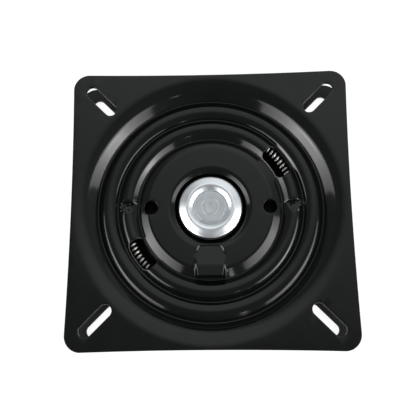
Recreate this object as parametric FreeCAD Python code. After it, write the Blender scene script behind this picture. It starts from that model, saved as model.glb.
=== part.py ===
"""Spring-return swivel bearing for a stool or chair seat.

Two square dished plates of pressed steel lie face to face. A ring of large
balls carries the load between them, and a kingpin with a domed cap holds the
stack together over a second ring of small balls. Two curved coil springs lie
in the inner channel and bring the seat back to the front.

Lengths are in millimetres, angles in degrees. The model is built about the
plane half-way between the plates, and moved up at the end so that the
underside of the bottom plate lies on z = 0. The swivel axis is the z axis.
"""
import FreeCAD, Part
import math
import os

Vector = FreeCAD.Vector
AXIS_FOOT = Vector(0, 0, 0)
UP = Vector(0, 0, 1)

# Plates
SHEET = 2.5                 # thickness of the pressed steel
PLATE_CORNER_RADIUS = 10.0
SIDE_BOW = 1.5              # how far drawing the dish pulls in the middle of a side
FLANGE_MARGIN = 1.23        # flat metal between the dish and the middle of a side
FLANGE_RISE = 13.0          # outer face of a flange above the middle plane
FLANGE_INNER_BEND = 2.5     # bend radii are those of the outer face, unless they say inner
OUTER_WALL_SLOPE = 37.0     # from the flange down to the outer crease
CREASE_BEND = 0.8

# Fixing slots, one on each diagonal
SLOT_BEARING = 45.0         # of the first slot, from the x axis
SLOT_GAP = 0.68             # flat metal between the dish and a slot
SLOT_LENGTH = 24.9
SLOT_WIDTH = 7.9

# Outer ball race
BALL_DIAMETER = 8.0
BALL_COUNT = 18
RACE_RADIUS = 66.25
RACE_GAP = 0.15
RACE_WALL_SLOPE = 35.0

# Cage of the outer balls
CAGE_THICKNESS = 2.0
CAGE_SIDE_GAP = 0.5         # between the cage and the creases of the plates
CAGE_WEB = 0.9              # cage material beside a pocket
POCKET_GAP = 0.15

# Return springs and their channel
SPRING_DIAMETER = 7.0       # outside of the coil
SPRING_WIRE = 1.4
SPRING_LEAN = 1.0           # the bent spring pushes outwards, off the middle of the channel
SPRING_PITCH = 3.0          # angle from one coil to the next
SPRING_END_GAP = 1.0        # angle from a lance to the first coil
WIRE_FLATS = 6              # the wire has flats here, to keep the faces few
CHANNEL_GAP = 2.0           # above the spring
CHANNEL_SIDE_GAP = 1.464    # between the walls and a spring in the middle
CHANNEL_WALL_SLOPE = 50.0

# Lances, pressed down through the channel to stop the spring ends
LANCE_ANGLE = 3.5           # of the sheared face, from the x axis
LANCE_LENGTH = 7.0
LANCE_DROP = 3.4            # of the sheared end, which leaves a slit above it
LANCE_HOLD = 0.3            # metal that overlaps at the other end of the ramp

# Plateau between the channel and the kingpin recess
PLATEAU_RISE = 7.5
PLATEAU_INNER_BEND = 1.0
PLATEAU_WALL_SLOPE = 40.0
LIP_REACH = 8.0             # from the rim of the cap to the middle of the lip's bend
RECESS_WALL_SLOPE = 65.0
RECESS_CORNER = 1.5
RECESS_RISE = 2.0           # floor of the recess above the middle plane
KINGPIN_HOLE_RADIUS = 13.5

# Windows over the springs, and tooling holes, in the top plate only
PUNCH_SHIFT = Vector(0.75, 0.4, 0)  # the punched and stepped forms sit a little off the axis
WINDOW_WIDTH = 11.5
WINDOW_OFFSET = 0.72        # of its middle, inwards from the middle of the channel
WINDOW_START = 22.95
WINDOW_SWEEP = 22.7
WINDOW_OUTER_CORNER = 4.2
WINDOW_INNER_CORNER = 3.0
TOOLING_HOLE_DIAMETER = 8.8
TOOLING_HOLE_INSET = 3.06   # from the bend of the plateau's edge

# Stepped pad pressed into the plateau of the top plate
PAD_INNER_INSET = 4.0       # inwards from the bend of the lip
PAD_OUTER_REACH = 0.4       # outwards from the bend of the plateau's edge
PAD_STEP_SHARE = 0.5215     # of the pad's length that is pressed down
PAD_INNER_WIDTH = 17.0
PAD_OUTER_WIDTH = 18.4
PAD_SINK = 1.2
PAD_RISE = 1.0

# Boss of the bottom plate, on which the kingpin cap sits
BOSS_RISE = 5.5             # seat of the cap above the middle plane
BOSS_BEND = 0.8
BOSS_ROOT_INNER_BEND = 0.5
BOSS_WALL_SLOPE = 80.0
BOSS_GAP = 1.2              # between the boss and the hole of the top plate

# Inner ball race, between the recess floor and the kingpin cap
INNER_BALL_DIAMETER = 4.5
INNER_BALL_COUNT = 12
INNER_RACE_REACH = 3.7      # from the edge of the kingpin hole to the middle of a ball
INNER_RACE_GAP = 0.1
INNER_CAGE_THICKNESS = 1.6
INNER_CAGE_WEB = 0.85
INNER_POCKET_GAP = 0.1

# Kingpin cap
CAP_SHEET = 1.5
CAP_RIM_REACH = 2.8         # outwards from the middle of the balls
CAP_CREST_REACH = 2.8       # inwards from there
CAP_CREST_BEND = 2.5
CAP_SKIRT_SLOPE = 24.0
CAP_WEB_SLOPE = 40.0
CAP_FLOOR_CORNER = 1.0

# Kingpin rivet
RIVET_SHOULDER = 2.942      # from the shank to the corner of the boss
RIVET_HOLE_GAP = 0.05
RIVET_HEAD_GAP = 0.4        # between the head and the corner of the cap's floor
RIVET_HEAD_HEIGHT = 1.3
RIVET_EDGE = 0.35
RIVET_TAIL_REACH = 2.0      # outwards from the shank
RIVET_TAIL_HEIGHT = 2.5
RIVET_TAIL_EDGE = 0.8
RIVET_RING_RADIUS = 5.4     # fine groove on the head
RIVET_RING_WIDTH = 0.5
RIVET_RING_DEPTH = 0.2
RIVET_DIMPLE_RADIUS = 3.3
RIVET_DIMPLE_DEPTH = 0.6

CUT_HEIGHT = 4 * FLANGE_RISE  # twice the height of the stack, to cut right through it
HALF_TURN = 180.0


def wall_run(crest_bend, crest_top, valley_bend, valley_bottom, slope):
    """Level distance between the centres of two opposite bends joined by a straight wall."""
    angle = math.radians(slope)
    bends = crest_bend + valley_bend
    centre_drop = (valley_bottom + valley_bend) - (crest_top - crest_bend)
    straight = (bends * math.cos(angle) - centre_drop) / math.sin(angle)
    return bends * math.sin(angle) + straight * math.cos(angle)


def channel_inner_bend():
    """Radius inside the channel that leaves the side gap between the spring and both walls."""
    lean = math.cos(math.radians(CHANNEL_WALL_SLOPE))
    spring = SPRING_DIAMETER / 2
    return (spring + CHANNEL_SIDE_GAP - (spring + CHANNEL_GAP) * lean) / (1 - lean)


# Heights above the middle plane, and radii that follow from the bends
RACE_BEND = BALL_DIAMETER / 2 + RACE_GAP + SHEET
RACE_CREST_RISE = RACE_BEND
CREASE_RISE = CAGE_THICKNESS / 2 + CAGE_SIDE_GAP + SHEET
CHANNEL_CREST_RISE = SPRING_DIAMETER / 2 + CHANNEL_GAP + SHEET
CHANNEL_BEND = SHEET + channel_inner_bend()
FLANGE_BEND = SHEET + FLANGE_INNER_BEND
PLATEAU_BEND = SHEET + PLATEAU_INNER_BEND
BOSS_ROOT_BEND = SHEET + BOSS_ROOT_INNER_BEND
RACE_HALF_WIDTH = wall_run(RACE_BEND, RACE_CREST_RISE, CREASE_BEND, CREASE_RISE, RACE_WALL_SLOPE)
CHANNEL_HALF_WIDTH = wall_run(CHANNEL_BEND, CHANNEL_CREST_RISE, CREASE_BEND, CREASE_RISE, CHANNEL_WALL_SLOPE)
OUTER_CREASE_RADIUS = RACE_RADIUS + RACE_HALF_WIDTH
MIDDLE_CREASE_RADIUS = RACE_RADIUS - RACE_HALF_WIDTH
CHANNEL_RADIUS = MIDDLE_CREASE_RADIUS - CHANNEL_HALF_WIDTH
INNER_CREASE_RADIUS = CHANNEL_RADIUS - CHANNEL_HALF_WIDTH
FLANGE_BEND_RADIUS = OUTER_CREASE_RADIUS + wall_run(
    FLANGE_BEND, FLANGE_RISE, CREASE_BEND, CREASE_RISE, OUTER_WALL_SLOPE)
PLATEAU_EDGE_RADIUS = INNER_CREASE_RADIUS - wall_run(
    PLATEAU_BEND, PLATEAU_RISE, CREASE_BEND, CREASE_RISE, PLATEAU_WALL_SLOPE)
INNER_RACE_RADIUS = KINGPIN_HOLE_RADIUS + INNER_RACE_REACH
CAP_RIM_RADIUS = INNER_RACE_RADIUS + CAP_RIM_REACH
CAP_CREST_RADIUS = INNER_RACE_RADIUS - CAP_CREST_REACH
LIP_RADIUS = CAP_RIM_RADIUS + LIP_REACH
RECESS_RADIUS = LIP_RADIUS - wall_run(
    PLATEAU_BEND, PLATEAU_RISE, RECESS_CORNER, RECESS_RISE, RECESS_WALL_SLOPE)

# The plate's square and what is cut or pressed beside the round bends
PLATE_HALF_SIDE = FLANGE_BEND_RADIUS + FLANGE_MARGIN + SIDE_BOW
SLOT_CENTRE_RADIUS = FLANGE_BEND_RADIUS + SLOT_GAP + SLOT_LENGTH / 2
SPRING_RADIUS = CHANNEL_RADIUS + SPRING_LEAN
WINDOW_MIDDLE_RADIUS = CHANNEL_RADIUS - WINDOW_OFFSET
TOOLING_HOLE_CENTRE_RADIUS = PLATEAU_EDGE_RADIUS - TOOLING_HOLE_INSET
PAD_INNER_EDGE = LIP_RADIUS - PAD_INNER_INSET
PAD_OUTER_EDGE = PLATEAU_EDGE_RADIUS + PAD_OUTER_REACH
PAD_STEP = PAD_INNER_EDGE + PAD_STEP_SHARE * (PAD_OUTER_EDGE - PAD_INNER_EDGE)

# The boss leans in from its root, and clears the hole of the top plate all the way
BOSS_UNDERSIDE = BOSS_RISE - SHEET
BOSS_LEAN = (BOSS_RISE - RECESS_RISE + SHEET) / math.tan(math.radians(BOSS_WALL_SLOPE))
BOSS_RADIUS = KINGPIN_HOLE_RADIUS - BOSS_GAP - SHEET - BOSS_BEND - BOSS_LEAN
BOSS_ROOT_RADIUS = BOSS_RADIUS + wall_run(
    BOSS_ROOT_BEND, PLATEAU_RISE, BOSS_BEND, -BOSS_UNDERSIDE, BOSS_WALL_SLOPE)

# The skirt of the cap lies on the small balls, which sets the height of its crest
INNER_BALL_RISE = RECESS_RISE + INNER_RACE_GAP + INNER_BALL_DIAMETER / 2
CAP_FLOOR_RISE = BOSS_RISE + CAP_SHEET
SKIRT_NORMAL = Vector(math.sin(math.radians(CAP_SKIRT_SLOPE)), 0, math.cos(math.radians(CAP_SKIRT_SLOPE)))
SKIRT_OFFSET = INNER_BALL_DIAMETER / 2 + INNER_RACE_GAP + CAP_SHEET
CAP_CREST_CENTRE_RISE = INNER_BALL_RISE + (
    SKIRT_OFFSET - CAP_CREST_BEND + SKIRT_NORMAL.x * (INNER_RACE_RADIUS - CAP_CREST_RADIUS)) / SKIRT_NORMAL.z
CAP_RIM_RISE = CAP_CREST_CENTRE_RISE + (
    CAP_CREST_BEND - SKIRT_NORMAL.x * (CAP_RIM_RADIUS - CAP_CREST_RADIUS)) / SKIRT_NORMAL.z
CAP_CORNER_RADIUS = CAP_CREST_RADIUS - wall_run(
    CAP_CREST_BEND, CAP_CREST_CENTRE_RISE + CAP_CREST_BEND, CAP_FLOOR_CORNER, CAP_FLOOR_RISE, CAP_WEB_SLOPE)
RIVET_SHANK_RADIUS = BOSS_RADIUS - RIVET_SHOULDER
RIVET_TAIL_RADIUS = RIVET_SHANK_RADIUS + RIVET_TAIL_REACH
RIVET_HOLE_RADIUS = RIVET_SHANK_RADIUS + RIVET_HOLE_GAP
RIVET_HEAD_RADIUS = CAP_CORNER_RADIUS - RIVET_HEAD_GAP


def crest(radius, top, bend):
    """A bend with its hollow side down: distance from the axis, height of its centre, bend radius."""
    return (radius, top - bend, bend)


def valley(radius, bottom, bend):
    """A bend with its hollow side up. Its radius is kept as a negative number."""
    return (radius, bottom + bend, -bend)


def stretch_normals(bends):
    """The upward normal of the sheet on each straight stretch between two bends."""
    normals = []
    for first, second in zip(bends, bends[1:]):
        across = second[0] - first[0]
        rise = second[1] - first[1]
        turn = math.acos(round((first[2] - second[2]) / math.hypot(across, rise), 9))
        angle = math.atan2(rise, across) + turn
        normals.append(Vector(math.cos(angle), 0, math.sin(angle)))
    return normals


def surface_edges(bends, depth):
    """Arcs and lines of the sheet's surface that lies depth below its outer face."""
    normals = stretch_normals(bends)
    edges = []
    here = Vector(bends[0][0], 0, bends[0][1]) + normals[0] * (bends[0][2] - depth)
    for index, bend in enumerate(bends[1:], start=1):
        centre = Vector(bend[0], 0, bend[1])
        radius = bend[2] - depth
        arrival = centre + normals[index - 1] * radius
        if (arrival - here).Length > 1e-6:
            edges.append(Part.LineSegment(here, arrival).toShape())
        here = arrival
        if index < len(normals) and bend[2] != 0:
            middle = (normals[index - 1] + normals[index]).normalize()
            leaving = centre + normals[index] * radius
            edges.append(Part.Arc(arrival, centre + middle * radius, leaving).toShape())
            here = leaving
    return edges


def sheet_section(bends, thickness):
    """Section of a bent sheet, as a face in the xz plane."""
    outer = surface_edges(bends, 0.0)
    inner = surface_edges(bends, thickness)
    start = Part.LineSegment(inner[0].Vertexes[0].Point, outer[0].Vertexes[0].Point).toShape()
    end = Part.LineSegment(outer[-1].Vertexes[-1].Point, inner[-1].Vertexes[-1].Point).toShape()
    return Part.Face(Part.Wire(Part.__sortEdges__(outer + [end] + inner + [start])))


def turned(face):
    """A face in the xz plane swept once round the swivel axis."""
    return face.revolve(AXIS_FOOT, UP, 360)


def upright(radius, angle, height=0.0):
    """A point at a distance from the axis and at an angle from the x axis."""
    turn = math.radians(angle)
    return Vector(radius * math.cos(turn), radius * math.sin(turn), height)


def plate_outline():
    """Square with sides that bow inwards a little and with round corners, from the flange's two faces."""
    half = PLATE_HALF_SIDE
    corners = [Vector(half, -half, 0), Vector(half, half, 0), Vector(-half, half, 0), Vector(-half, -half, 0)]
    sides = []
    for start, end in zip(corners, corners[1:] + corners[:1]):
        middle = (start + end) * 0.5
        bowed = middle * ((half - SIDE_BOW) / half)
        sides.append(Part.Arc(start, bowed, end).toShape())
    block = Part.Face(Part.Wire(sides)).extrude(UP * SHEET)
    block.translate(UP * (FLANGE_RISE - SHEET))
    uprights = [edge for edge in block.Edges if abs(edge.tangentAt(edge.FirstParameter).z) > 0.99]
    return block.makeFillet(PLATE_CORNER_RADIUS, uprights)


def fixing_slot(angle):
    """Cutter for a slot with round ends that points at the axis."""
    reach = (SLOT_LENGTH - SLOT_WIDTH) / 2
    half = SLOT_WIDTH / 2
    near = SLOT_CENTRE_RADIUS - reach
    far = SLOT_CENTRE_RADIUS + reach
    edges = [
        Part.LineSegment(Vector(near, -half, 0), Vector(far, -half, 0)).toShape(),
        Part.Arc(Vector(far, -half, 0), Vector(far + half, 0, 0), Vector(far, half, 0)).toShape(),
        Part.LineSegment(Vector(far, half, 0), Vector(near, half, 0)).toShape(),
        Part.Arc(Vector(near, half, 0), Vector(near - half, 0, 0), Vector(near, -half, 0)).toShape(),
    ]
    slot = Part.Face(Part.Wire(edges)).extrude(UP * CUT_HEIGHT)
    slot.translate(UP * (-CUT_HEIGHT / 2))
    slot.rotate(AXIS_FOOT, UP, angle)
    return slot


def channel_core():
    """Everything under the middle of the channel's wall, which trims a lance to the channel."""
    bends = [
        (INNER_CREASE_RADIUS, CREASE_RISE, 0.0),
        valley(INNER_CREASE_RADIUS, CREASE_RISE, CREASE_BEND),
        crest(CHANNEL_RADIUS, CHANNEL_CREST_RISE, CHANNEL_BEND),
        valley(MIDDLE_CREASE_RADIUS, CREASE_RISE, CREASE_BEND),
        (MIDDLE_CREASE_RADIUS, CREASE_RISE, 0.0),
    ]
    top = surface_edges(bends, SHEET / 2)
    first = top[0].Vertexes[0].Point
    last = top[-1].Vertexes[-1].Point
    floor = Part.makePolygon([last, Vector(last.x, 0, 0), Vector(first.x, 0, 0), first])
    return turned(Part.Face(Part.Wire(Part.__sortEdges__(top + floor.Edges))))


def lance_wedge(heights):
    """Prism across the channel at the x axis, by height: near top, far top, far bottom, near bottom."""
    near_top, far_top, far_bottom, near_bottom = heights
    reach = CHANNEL_HALF_WIDTH
    corners = [
        Vector(CHANNEL_RADIUS - reach, 0, near_bottom),
        Vector(CHANNEL_RADIUS - reach, 0, near_top),
        Vector(CHANNEL_RADIUS - reach, -LANCE_LENGTH, far_top),
        Vector(CHANNEL_RADIUS - reach, -LANCE_LENGTH, far_bottom),
        Vector(CHANNEL_RADIUS - reach, 0, near_bottom),
    ]
    wedge = Part.Face(Part.makePolygon(corners)).extrude(Vector(2 * reach, 0, 0))
    wedge.rotate(AXIS_FOOT, UP, LANCE_ANGLE)
    return wedge


def press_lances(plate):
    """Press a ramp down through the channel on both sides, sheared on the face towards the spring."""
    top = CHANNEL_CREST_RISE
    removed = lance_wedge((top + SHEET, top + SHEET, top, top - LANCE_DROP))
    pressed = lance_wedge((top - LANCE_DROP, top, top - SHEET + LANCE_HOLD, top - LANCE_DROP - SHEET))
    pressed = pressed.common(channel_core())
    plate = plate.cut([removed, removed.mirror(AXIS_FOOT, Vector(1, 0, 0))])
    return plate.fuse([pressed, pressed.mirror(AXIS_FOOT, Vector(1, 0, 0))])


def pressed_plate(centre_bends):
    """A dished square plate: the centre differs, and the rest is the same on both plates."""
    bends = centre_bends + [
        crest(PLATEAU_EDGE_RADIUS, PLATEAU_RISE, PLATEAU_BEND),
        valley(INNER_CREASE_RADIUS, CREASE_RISE, CREASE_BEND),
        crest(CHANNEL_RADIUS, CHANNEL_CREST_RISE, CHANNEL_BEND),
        valley(MIDDLE_CREASE_RADIUS, CREASE_RISE, CREASE_BEND),
        crest(RACE_RADIUS, RACE_CREST_RISE, RACE_BEND),
        valley(OUTER_CREASE_RADIUS, CREASE_RISE, CREASE_BEND),
        crest(FLANGE_BEND_RADIUS, FLANGE_RISE, FLANGE_BEND),
        (FLANGE_BEND_RADIUS, FLANGE_RISE, 0.0),
    ]
    dish = turned(sheet_section(bends, SHEET))
    opening = Part.makeCylinder(FLANGE_BEND_RADIUS, CUT_HEIGHT, Vector(0, 0, -CUT_HEIGHT / 2))
    flange = plate_outline().cut([opening] + [fixing_slot(SLOT_BEARING + 90 * corner) for corner in range(4)])
    return press_lances(flange.fuse(dish))


def corner_edges(block, nearest, farthest):
    """Upright edges of a block whose distance from the axis lies between two limits."""
    found = []
    for edge in block.Edges:
        foot = edge.Vertexes[0].Point
        upright_edge = abs(edge.tangentAt(edge.FirstParameter).z) > 0.99
        if upright_edge and nearest < math.hypot(foot.x, foot.y) < farthest:
            found.append(edge)
    return found


def spring_window(start):
    """Cutter for a window over the spring, with round corners."""
    end = start + WINDOW_SWEEP
    middle = start + WINDOW_SWEEP / 2
    inner_radius = WINDOW_MIDDLE_RADIUS - WINDOW_WIDTH / 2
    outer_radius = WINDOW_MIDDLE_RADIUS + WINDOW_WIDTH / 2
    inner = [upright(inner_radius, angle) for angle in (start, middle, end)]
    outer = [upright(outer_radius, angle) for angle in (start, middle, end)]
    edges = [
        Part.Arc(*inner).toShape(),
        Part.LineSegment(inner[2], outer[2]).toShape(),
        Part.Arc(outer[2], outer[1], outer[0]).toShape(),
        Part.LineSegment(outer[0], inner[0]).toShape(),
    ]
    window = Part.Face(Part.Wire(edges)).extrude(UP * CUT_HEIGHT)
    window = window.makeFillet(WINDOW_OUTER_CORNER, corner_edges(window, WINDOW_MIDDLE_RADIUS, math.inf))
    window = window.makeFillet(WINDOW_INNER_CORNER, corner_edges(window, 0.0, WINDOW_MIDDLE_RADIUS))
    window.translate(PUNCH_SHIFT)
    return window


def shift_region(plate, near, far, width, lift):
    """Press one oblong of the plate up or down by lift, as a punch does."""
    region = Part.makeBox(width, far - near, CUT_HEIGHT, Vector(-width / 2, -far, -CUT_HEIGHT / 2))
    region.translate(Vector(PUNCH_SHIFT.x, 0, 0))
    moved = plate.common(region)
    moved.translate(UP * lift)
    return plate.cut(region).fuse(moved)


def top_plate():
    """Upper plate with the kingpin recess, two windows, two tooling holes and the stepped pad."""
    plate = pressed_plate([
        (KINGPIN_HOLE_RADIUS, RECESS_RISE, 0.0),
        valley(RECESS_RADIUS, RECESS_RISE, RECESS_CORNER),
        crest(LIP_RADIUS, PLATEAU_RISE, PLATEAU_BEND),
    ])
    plate = shift_region(plate, PAD_INNER_EDGE, PAD_STEP, PAD_INNER_WIDTH, -PAD_SINK)
    plate = shift_region(plate, PAD_STEP, PAD_OUTER_EDGE, PAD_OUTER_WIDTH, PAD_RISE)
    cutters = []
    for turn in (0.0, HALF_TURN):
        foot = PUNCH_SHIFT + upright(TOOLING_HOLE_CENTRE_RADIUS, turn)
        cutters.append(spring_window(WINDOW_START + turn))
        cutters.append(Part.makeCylinder(TOOLING_HOLE_DIAMETER / 2, CUT_HEIGHT, foot))
    return plate.cut(cutters).removeSplitter()


def bottom_plate():
    """Lower plate, made flange up like the other and then turned over. Its boss passes through the stack."""
    plate = pressed_plate([
        (RIVET_HOLE_RADIUS, -BOSS_UNDERSIDE, 0.0),
        valley(BOSS_RADIUS, -BOSS_UNDERSIDE, BOSS_BEND),
        crest(BOSS_ROOT_RADIUS, PLATEAU_RISE, BOSS_ROOT_BEND),
    ])
    plate.rotate(AXIS_FOOT, Vector(1, 0, 0), 180)
    return plate.removeSplitter()


def kingpin_cap():
    """Domed washer that holds the small balls down. Its floor sits on the boss."""
    bends = [
        (RIVET_HOLE_RADIUS, CAP_FLOOR_RISE, 0.0),
        valley(CAP_CORNER_RADIUS, CAP_FLOOR_RISE, CAP_FLOOR_CORNER),
        (CAP_CREST_RADIUS, CAP_CREST_CENTRE_RISE, CAP_CREST_BEND),
        (CAP_RIM_RADIUS, CAP_RIM_RISE, 0.0),
    ]
    return turned(sheet_section(bends, CAP_SHEET))


def kingpin_rivet():
    """Rivet through cap and boss: a flat head with a dimple and a fine ring, and a spread tail."""
    head_top = CAP_FLOOR_RISE + RIVET_HEAD_HEIGHT
    tail_foot = BOSS_UNDERSIDE - RIVET_TAIL_HEIGHT
    profile = [
        (0, tail_foot),
        (RIVET_TAIL_RADIUS - RIVET_TAIL_EDGE, tail_foot),
        (RIVET_TAIL_RADIUS, tail_foot + RIVET_TAIL_EDGE),
        (RIVET_TAIL_RADIUS, BOSS_UNDERSIDE),
        (RIVET_SHANK_RADIUS, BOSS_UNDERSIDE),
        (RIVET_SHANK_RADIUS, CAP_FLOOR_RISE),
        (RIVET_HEAD_RADIUS, CAP_FLOOR_RISE),
        (RIVET_HEAD_RADIUS, head_top - RIVET_EDGE),
        (RIVET_HEAD_RADIUS - RIVET_EDGE, head_top),
        (RIVET_RING_RADIUS + RIVET_RING_WIDTH / 2, head_top),
        (RIVET_RING_RADIUS, head_top - RIVET_RING_DEPTH),
        (RIVET_RING_RADIUS - RIVET_RING_WIDTH / 2, head_top),
        (RIVET_DIMPLE_RADIUS, head_top),
        (0, head_top - RIVET_DIMPLE_DEPTH),
        (0, tail_foot),
    ]
    points = [Vector(radius, 0, height) for radius, height in profile]
    return turned(Part.Face(Part.makePolygon(points)))


def ball(diameter, race_radius, rise, angle):
    """One ball of a race."""
    return Part.makeSphere(diameter / 2, upright(race_radius, angle, rise))


def ball_cage(diameter, count, race_radius, rise, thickness, web, pocket_gap):
    """Flat ring with a round pocket for each ball."""
    pocket = diameter / 2 + pocket_gap
    foot = Vector(0, 0, rise - thickness / 2)
    ring = Part.makeCylinder(race_radius + pocket + web, thickness, foot)
    ring = ring.cut(Part.makeCylinder(race_radius - pocket - web, thickness, foot))
    pockets = []
    for index in range(count):
        place = upright(race_radius, 360 * index / count, foot.z)
        pockets.append(Part.makeCylinder(pocket, thickness, place))
    return ring.cut(pockets)


def half_coil(first, second, side):
    """Half a turn of the spring's centre line, over the top (side 1) or underneath (side -1)."""
    middle = (first + second) * 0.5
    reach = (second - first).Length / 2
    return Part.Arc(first, middle + UP * (reach * side), second).toShape()


def return_spring():
    """Coil spring bent round the swivel axis, from one lance nearly round to the other."""
    start = LANCE_ANGLE + SPRING_END_GAP
    span = HALF_TURN - 2 * start
    turns = round(span / SPRING_PITCH)
    pitch = span / turns
    coil_radius = (SPRING_DIAMETER - SPRING_WIRE) / 2
    outer = SPRING_RADIUS + coil_radius
    inner = SPRING_RADIUS - coil_radius
    halves = []
    for turn in range(turns):
        angle = start + pitch * turn
        inner_point = upright(inner, angle + pitch / 2)
        halves.append(half_coil(upright(outer, angle), inner_point, -1))
        halves.append(half_coil(inner_point, upright(outer, angle + pitch), 1))
    corners = []
    for index in range(WIRE_FLATS + 1):
        corner = upright(SPRING_WIRE / 2, 360 * (index + 0.5) / WIRE_FLATS + start)
        corners.append(upright(outer, start) + corner)
    sweep = Part.BRepOffsetAPI.MakePipeShell(Part.Wire(halves))
    sweep.setFrenetMode(True)
    sweep.add(Part.makePolygon(corners))
    sweep.build()
    sweep.makeSolid()
    return sweep.shape()


def build_nodes():
    """Every piece of the bearing by name, about the middle plane."""
    nodes = {
        "top_plate": top_plate(),
        "bottom_plate": bottom_plate(),
        "kingpin_cap": kingpin_cap(),
        "kingpin_rivet": kingpin_rivet(),
    }
    rear_spring = return_spring()
    front_spring = rear_spring.copy()
    front_spring.rotate(AXIS_FOOT, Vector(1, 0, 0), 180)
    nodes["return_spring_rear"] = rear_spring
    nodes["return_spring_front"] = front_spring
    nodes["outer_ball_cage"] = ball_cage(
        BALL_DIAMETER, BALL_COUNT, RACE_RADIUS, 0.0, CAGE_THICKNESS, CAGE_WEB, POCKET_GAP)
    nodes["inner_ball_cage"] = ball_cage(
        INNER_BALL_DIAMETER, INNER_BALL_COUNT, INNER_RACE_RADIUS, INNER_BALL_RISE,
        INNER_CAGE_THICKNESS, INNER_CAGE_WEB, INNER_POCKET_GAP)
    for index in range(BALL_COUNT):
        angle = 360 * index / BALL_COUNT
        nodes[f"outer_ball_{index + 1:02d}"] = ball(BALL_DIAMETER, RACE_RADIUS, 0.0, angle)
    for index in range(INNER_BALL_COUNT):
        angle = 360 * index / INNER_BALL_COUNT
        nodes[f"inner_ball_{index + 1:02d}"] = ball(
            INNER_BALL_DIAMETER, INNER_RACE_RADIUS, INNER_BALL_RISE, angle)
    return nodes


def single_solid(shape):
    """The one solid of a shape that a cut or a fuse may have wrapped in a compound."""
    solids = shape.Solids
    if len(solids) != 1:
        raise ValueError(f"expected one solid, found {len(solids)}")
    return solids[0]


os.makedirs("parts", exist_ok=True)
for name, shape in build_nodes().items():
    solid = single_solid(shape)
    solid.translate(UP * FLANGE_RISE)
    solid.exportStep(f"parts/{name}.step")
    print(f"{name}: {solid.Volume / 1000:.2f} cm3, valid {solid.isValid()}")
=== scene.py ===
# %% [markdown]
# Spring-return swivel bearing, dressed for a product picture.
#
# The bearing is two dished square plates of black painted steel, a zinc-plated
# kingpin cap in the middle, two rings of balls in their cages, and two curved
# coil springs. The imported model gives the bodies, the joints and the true
# sizes. This script gives each piece a finer mesh where light would show the
# facets, and a finish.

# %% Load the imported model
import bpy
import math
import numpy as np
from mathutils import Matrix, Vector
from mathutils.geometry import delaunay_2d_cdt


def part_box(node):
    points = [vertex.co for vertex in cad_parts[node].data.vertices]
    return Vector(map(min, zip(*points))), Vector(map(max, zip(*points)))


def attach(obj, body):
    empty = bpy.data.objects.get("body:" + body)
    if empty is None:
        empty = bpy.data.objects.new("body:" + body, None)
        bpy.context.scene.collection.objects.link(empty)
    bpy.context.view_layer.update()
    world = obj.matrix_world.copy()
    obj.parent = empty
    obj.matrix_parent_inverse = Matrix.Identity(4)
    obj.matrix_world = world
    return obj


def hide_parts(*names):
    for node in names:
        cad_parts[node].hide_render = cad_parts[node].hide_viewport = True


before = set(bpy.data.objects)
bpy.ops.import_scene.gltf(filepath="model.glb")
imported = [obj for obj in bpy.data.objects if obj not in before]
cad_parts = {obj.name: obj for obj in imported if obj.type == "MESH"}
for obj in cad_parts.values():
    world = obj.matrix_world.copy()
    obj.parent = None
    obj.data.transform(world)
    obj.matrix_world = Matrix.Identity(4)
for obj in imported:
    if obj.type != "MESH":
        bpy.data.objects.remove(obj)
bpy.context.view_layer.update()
MM = 0.001

# %% [markdown]
# The camera. The picture was taken from almost straight above, a little to the
# front of the swivel axis and a little to its right. A look-at constraint would
# lose the small roll of the camera, so its place and its three angles are
# given, as they were found from the corners of the plate.

# %% Camera
PICTURE_SIDE = 400.0                       # pixels
FOCAL_PIXELS = 585.82
CAMERA_TILT = (-0.2189, -0.0323, 0.0070)   # radians about the plate's x, y and z axes
CAMERA_SHIFT = (6.384 * MM, -3.247 * MM, -364.84 * MM)
SENSOR_WIDTH = 36.0
SEAT_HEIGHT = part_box("top_plate")[1].z


def add_camera():
    """The camera of the picture, whose place is counted from the top face of the bearing."""
    tilt_x, tilt_y, tilt_z = CAMERA_TILT
    turn = Matrix.Rotation(tilt_x, 3, "X") @ Matrix.Rotation(tilt_y, 3, "Y") @ Matrix.Rotation(tilt_z, 3, "Z")
    to_world = turn.transposed()
    place = Vector((0.0, 0.0, SEAT_HEIGHT)) - to_world @ Vector(CAMERA_SHIFT)
    data = bpy.data.cameras.new("picture_camera")
    data.sensor_width = SENSOR_WIDTH
    data.lens = SENSOR_WIDTH * FOCAL_PIXELS / PICTURE_SIDE
    data.clip_start = 10 * MM
    camera = bpy.data.objects.new("picture_camera", data)
    camera.matrix_world = Matrix.Translation(place) @ to_world.to_4x4()
    bpy.context.scene.collection.objects.link(camera)
    bpy.context.scene.camera = camera
    return camera


camera = add_camera()
print("camera at", [round(value, 4) for value in camera.matrix_world.translation])

# %% [markdown]
# Shader maths. A finish is easier to read as a sum or a product than as a list
# of nodes and links. This small class holds one output socket of a node tree.
# Adding or multiplying two of them makes the Math node, and any other node
# comes from the one method called node.

# %% Shader terms


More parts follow.
